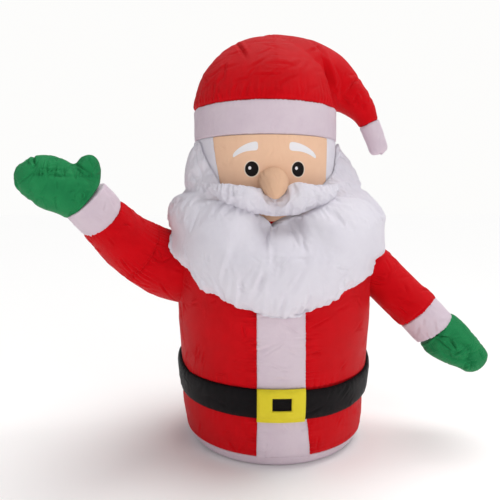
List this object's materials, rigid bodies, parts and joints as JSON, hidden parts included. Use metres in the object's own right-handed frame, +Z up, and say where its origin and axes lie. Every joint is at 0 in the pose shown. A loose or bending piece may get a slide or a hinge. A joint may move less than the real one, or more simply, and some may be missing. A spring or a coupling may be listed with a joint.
{
  "type": "inflatable santa",
  "caption": "Air-filled fabric Santa that stands on a round flat foot, one mitten raised in greeting and one hanging, with a full beard and a hat whose tail falls to the side.",
  "frame": {"origin": "centre of the round flat underside, on the ground", "axes": "+Z up, the figure faces -Y, +X towards the hanging arm and the hat's tail, so the raised arm is at -X"},
  "size_m": [1.3196, 0.6456, 1.1971],
  "materials": {
    "red_fabric": "thin woven nylon, soft sheen, wrinkled at the seams",
    "white_fabric": "thin woven nylon, soft sheen",
    "skin_fabric": "thin woven nylon with printed eyes, brows and mouth",
    "green_fabric": "thin woven nylon, soft sheen",
    "black_fabric": "thin woven nylon, soft sheen",
    "yellow_fabric": "thin woven nylon, soft sheen"
  },
  "bodies": {
    "root": {"base_skirt": "white_fabric", "coat": "red_fabric", "front_stripe": "white_fabric", "belt": "black_fabric", "buckle": "yellow_fabric", "head": "white_fabric", "face_panel": "skin_fabric", "nose": "skin_fabric", "moustache": "white_fabric", "beard": "white_fabric", "hat_band": "white_fabric", "hat_crown": "red_fabric", "hat_tip": "white_fabric", "raised_sleeve": "red_fabric", "raised_cuff": "white_fabric", "raised_mitten": "green_fabric", "lowered_sleeve": "red_fabric", "lowered_cuff": "white_fabric", "lowered_mitten": "green_fabric"}
  },
  "joints": []
}
